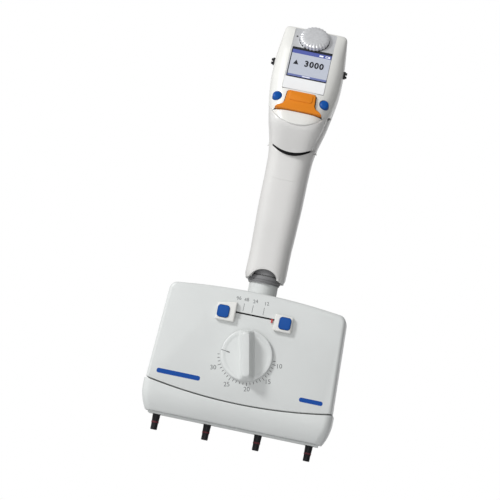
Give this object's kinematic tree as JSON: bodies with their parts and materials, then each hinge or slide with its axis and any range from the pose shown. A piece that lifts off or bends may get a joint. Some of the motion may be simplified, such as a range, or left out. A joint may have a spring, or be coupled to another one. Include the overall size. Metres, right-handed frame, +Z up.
{
  "type": "multichannel pipette",
  "caption": "Hand-held electronic pipette with a wide manifold, a spacing knob with stops, sliding nozzles, a thumb ejector and a display head.",
  "frame": {"origin": "midpoint between the two stand lugs on the sides of the head, on the handle's axis", "axes": "+Z up along the handle's axis, front with the display and the knob faces -Y, +X to the right seen from the front"},
  "size_m": [0.122, 0.065, 0.2735],
  "materials": {
    "white_plastic": "satin moulded",
    "bezel_plastic": "smooth moulded",
    "silver_panel": "fine satin silver",
    "display_glass": "clear window over a lit display",
    "grey_plastic": "fine texture",
    "dark_plastic": "fine texture",
    "steel": "turned",
    "blue_plastic": "satin",
    "orange_plastic": "satin",
    "circuit_board": "solder mask",
    "battery_wrap": "shrink sleeve",
    "red_plastic": "satin",
    "seal_rubber": "moulded",
    "nut_plastic": "acetal"
  },
  "bodies": {
    "handle": {"grip_front_shell": "white_plastic", "back_shell": "white_plastic", "head_bezel": "bezel_plastic", "display_panel": "silver_panel", "display_screen": "display_glass", "finger_hook": "white_plastic", "stand_lugs": "dark_plastic", "main_board": "circuit_board", "battery": "battery_wrap", "drive_motor": "steel", "inner_frame": "grey_plastic", "rocker_pin": "steel", "handle_screws": "steel", "ejector_spring": "steel"},
    "selector": {"selector_dial": "silver_panel"},
    "rocker_key": {"rocker": "orange_plastic"},
    "left_key": {"softkey_left": "blue_plastic"},
    "right_key": {"softkey_right": "blue_plastic"},
    "ejector_thumb": {"ejector_button": "bezel_plastic", "ejector_pushrod": "steel"},
    "screw": {"lead_screw": "steel"},
    "nut": {"drive_nut": "nut_plastic"},
    "manifold": {"neck_tube": "white_plastic", "coupling_ring": "grey_plastic", "front_cover": "white_plastic", "rear_cover": "white_plastic", "chassis": "grey_plastic", "guide_rods": "steel", "cover_screws": "steel"},
    "bar": {"drive_bar": "grey_plastic"},
    "ejector": {"ejector_cover": "white_plastic", "ejector_strip": "grey_plastic", "ejector_yoke": "dark_plastic"},
    "knob": {"spread_knob": "white_plastic", "pinion_shaft": "steel"},
    "indicator": {"indicator_slide": "red_plastic"},
    "left_stop": {"stop_block_left": "bezel_plastic"},
    "right_stop": {"stop_block_right": "bezel_plastic"},
    "left_stop_key": {"stop_button_left": "blue_plastic"},
    "right_stop_key": {"stop_button_right": "blue_plastic"},
    "channel_1": {"carriage_1": "grey_plastic", "cylinder_1": "nut_plastic", "nozzle_1": "dark_plastic", "nozzle_ring_1": "seal_rubber"},
    "plunger_1": {"piston_1": "steel"},
    "channel_2": {"carriage_2": "grey_plastic", "cylinder_2": "nut_plastic", "nozzle_2": "dark_plastic", "nozzle_ring_2": "seal_rubber"},
    "plunger_2": {"piston_2": "steel"},
    "channel_3": {"carriage_3": "grey_plastic", "cylinder_3": "nut_plastic", "nozzle_3": "dark_plastic", "nozzle_ring_3": "seal_rubber"},
    "plunger_3": {"piston_3": "steel"},
    "channel_4": {"carriage_4": "grey_plastic", "cylinder_4": "nut_plastic", "nozzle_4": "dark_plastic", "nozzle_ring_4": "seal_rubber"},
    "plunger_4": {"piston_4": "steel"}
  },
  "joints": [
    {"name": "manifold_swivel", "type": "hinge", "parent": "handle", "child": "manifold", "pos_m": [0, 0, -0.133], "axis": [0, 0, 1], "continuous": true},
    {"name": "selector_turn", "type": "hinge", "parent": "handle", "child": "selector", "pos_m": [0, -0.00549, 0.018], "axis": [0, -0.7955, 0.606], "continuous": true},
    {"name": "rocker_tilt", "type": "hinge", "parent": "handle", "child": "rocker_key", "pos_m": [0, -0.01851, -0.02623], "axis": [1, 0, 0], "range_deg": [-4, 4], "stiffness_Nm_per_rad": 0.3},
    {"name": "left_key_press", "type": "slide", "parent": "handle", "child": "left_key", "axis": [0, 0.9516, -0.3074], "range_m": [0, 0.0008], "stiffness_N_per_m": 400, "springref_m": -0.0005},
    {"name": "right_key_press", "type": "slide", "parent": "handle", "child": "right_key", "axis": [0, 0.9516, -0.3074], "range_m": [0, 0.0008], "stiffness_N_per_m": 400, "springref_m": -0.0005},
    {"name": "ejector_press", "type": "slide", "parent": "handle", "child": "ejector_thumb", "axis": [0, 0, -1], "range_m": [0, 0.007], "stiffness_N_per_m": 600, "springref_m": -0.004, "deforming": ["ejector_spring"]},
    {"name": "ejector_drop", "type": "slide", "parent": "manifold", "child": "ejector", "axis": [0, 0, -1], "range_m": [0, 0.007]},
    {"name": "piston_stroke", "type": "slide", "parent": "handle", "child": "nut", "axis": [0, 0, 1], "range_m": [0, 0.0153]},
    {"name": "lead_screw_spin", "type": "hinge", "parent": "handle", "child": "screw", "pos_m": [0, 0, -0.099], "axis": [0, 0, 1], "range_deg": [0, 1380]},
    {"name": "drive_bar_lift", "type": "slide", "parent": "manifold", "child": "bar", "axis": [0, 0, 1], "range_m": [0, 0.0153]},
    {"name": "plunger_1_lift", "type": "slide", "parent": "channel_1", "child": "plunger_1", "axis": [0, 0, 1], "range_m": [0, 0.0153]},
    {"name": "plunger_2_lift", "type": "slide", "parent": "channel_2", "child": "plunger_2", "axis": [0, 0, 1], "range_m": [0, 0.0153]},
    {"name": "plunger_3_lift", "type": "slide", "parent": "channel_3", "child": "plunger_3", "axis": [0, 0, 1], "range_m": [0, 0.0153]},
    {"name": "plunger_4_lift", "type": "slide", "parent": "channel_4", "child": "plunger_4", "axis": [0, 0, 1], "range_m": [0, 0.0153]},
    {"name": "spread_turn", "type": "hinge", "parent": "manifold", "child": "knob", "pos_m": [0, -0.019, -0.189], "axis": [0, -1, 0], "range_deg": [0, 171.89]},
    {"name": "channel_1_slide", "type": "slide", "parent": "manifold", "child": "channel_1", "axis": [1, 0, 0], "range_m": [0, 0.036]},
    {"name": "channel_2_slide", "type": "slide", "parent": "manifold", "child": "channel_2", "axis": [1, 0, 0], "range_m": [0, 0.012]},
    {"name": "channel_3_slide", "type": "slide", "parent": "manifold", "child": "channel_3", "axis": [-1, 0, 0], "range_m": [0, 0.012]},
    {"name": "channel_4_slide", "type": "slide", "parent": "manifold", "child": "channel_4", "axis": [-1, 0, 0], "range_m": [0, 0.036]},
    {"name": "indicator_travel", "type": "slide", "parent": "manifold", "child": "indicator", "axis": [-1, 0, 0], "range_m": [0, 0.024]},
    {"name": "left_stop_slide", "type": "slide", "parent": "manifold", "child": "left_stop", "axis": [1, 0, 0], "range_m": [0, 0.011]},
    {"name": "left_stop_press", "type": "slide", "parent": "left_stop", "child": "left_stop_key", "axis": [0, 1, 0], "range_m": [0, 0.001], "stiffness_N_per_m": 200, "springref_m": -0.0005},
    {"name": "right_stop_slide", "type": "slide", "parent": "manifold", "child": "right_stop", "axis": [-1, 0, 0], "range_m": [0, 0.011]},
    {"name": "right_stop_press", "type": "slide", "parent": "right_stop", "child": "right_stop_key", "axis": [0, 1, 0], "range_m": [0, 0.001], "stiffness_N_per_m": 200, "springref_m": -0.0005}
  ],
  "couplings": [
    {"joint": "ejector_drop", "follows": "ejector_press", "ratio": 1},
    {"joint": "lead_screw_spin", "follows": "piston_stroke", "rad_per_m": 1570.8},
    {"joint": "drive_bar_lift", "follows": "piston_stroke", "ratio": 1},
    {"joint": "plunger_1_lift", "follows": "piston_stroke", "ratio": 1},
    {"joint": "plunger_2_lift", "follows": "piston_stroke", "ratio": 1},
    {"joint": "plunger_3_lift", "follows": "piston_stroke", "ratio": 1},
    {"joint": "plunger_4_lift", "follows": "piston_stroke", "ratio": 1},
    {"joint": "channel_1_slide", "follows": "spread_turn", "m_per_rad": 0.012},
    {"joint": "channel_2_slide", "follows": "spread_turn", "m_per_rad": 0.004},
    {"joint": "channel_3_slide", "follows": "spread_turn", "m_per_rad": 0.004},
    {"joint": "channel_4_slide", "follows": "spread_turn", "m_per_rad": 0.012},
    {"joint": "indicator_travel", "follows": "spread_turn", "m_per_rad": 0.008}
  ]
}
